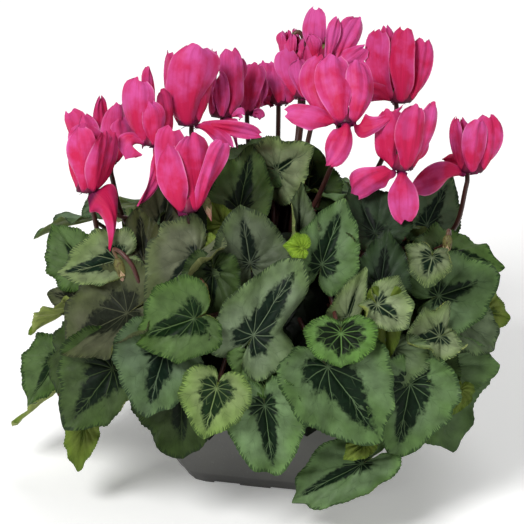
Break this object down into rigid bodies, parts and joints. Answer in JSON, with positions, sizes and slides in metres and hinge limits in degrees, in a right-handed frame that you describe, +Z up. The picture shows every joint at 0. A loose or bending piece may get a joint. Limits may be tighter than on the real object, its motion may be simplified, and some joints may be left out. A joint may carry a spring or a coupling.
{
  "type": "potted cyclamen",
  "caption": "Florist's cyclamen with marbled heart-shaped leaves and magenta flowers, growing from a corm in a square plastic nursery pot.",
  "frame": {"origin": "centre of the pot's underside, on the surface that the pot stands on", "axes": "+Z up along the pot's axis, -Y towards the plant's best side, +X to its right"},
  "size_m": [0.2811, 0.2331, 0.2575],
  "materials": {
    "pot_plastic": "dark grey, slightly glossy moulded plastic",
    "potting_soil": "dark crumbly peat",
    "corm_bark": "rough brown bark",
    "leaf_green": "waxy leaf, silver band round a dark heart",
    "petal_magenta": "soft satin petal",
    "bud_cream": "soft satin bud"
  },
  "bodies": {
    "root": {"pot": "pot_plastic", "soil": "potting_soil", "corm": "corm_bark", "flower_01": "petal_magenta", "flower_02": "petal_magenta", "flower_03": "petal_magenta", "flower_04": "petal_magenta", "flower_05": "petal_magenta", "flower_06": "petal_magenta", "flower_07": "petal_magenta", "flower_08": "petal_magenta", "flower_09": "petal_magenta", "flower_10": "petal_magenta", "flower_11": "petal_magenta", "flower_12": "petal_magenta", "flower_13": "petal_magenta", "flower_14": "petal_magenta", "flower_15": "petal_magenta", "bud_01": "bud_cream", "bud_02": "bud_cream", "bud_03": "bud_cream", "bud_04": "bud_cream", "leaf_01": "leaf_green", "leaf_02": "leaf_green", "leaf_03": "leaf_green", "leaf_04": "leaf_green", "leaf_05": "leaf_green", "leaf_06": "leaf_green", "leaf_07": "leaf_green", "leaf_08": "leaf_green", "leaf_09": "leaf_green", "leaf_10": "leaf_green", "leaf_11": "leaf_green", "leaf_12": "leaf_green", "leaf_13": "leaf_green", "leaf_14": "leaf_green", "leaf_15": "leaf_green", "leaf_16": "leaf_green", "leaf_17": "leaf_green", "leaf_18": "leaf_green", "leaf_19": "leaf_green", "leaf_20": "leaf_green", "leaf_21": "leaf_green", "leaf_22": "leaf_green", "leaf_23": "leaf_green", "leaf_24": "leaf_green", "leaf_25": "leaf_green", "leaf_26": "leaf_green", "leaf_27": "leaf_green", "leaf_28": "leaf_green", "leaf_29": "leaf_green", "leaf_30": "leaf_green", "leaf_31": "leaf_green", "leaf_32": "leaf_green", "leaf_33": "leaf_green", "leaf_34": "leaf_green", "leaf_35": "leaf_green", "leaf_36": "leaf_green", "leaf_37": "leaf_green", "leaf_38": "leaf_green"}
  },
  "joints": []
}
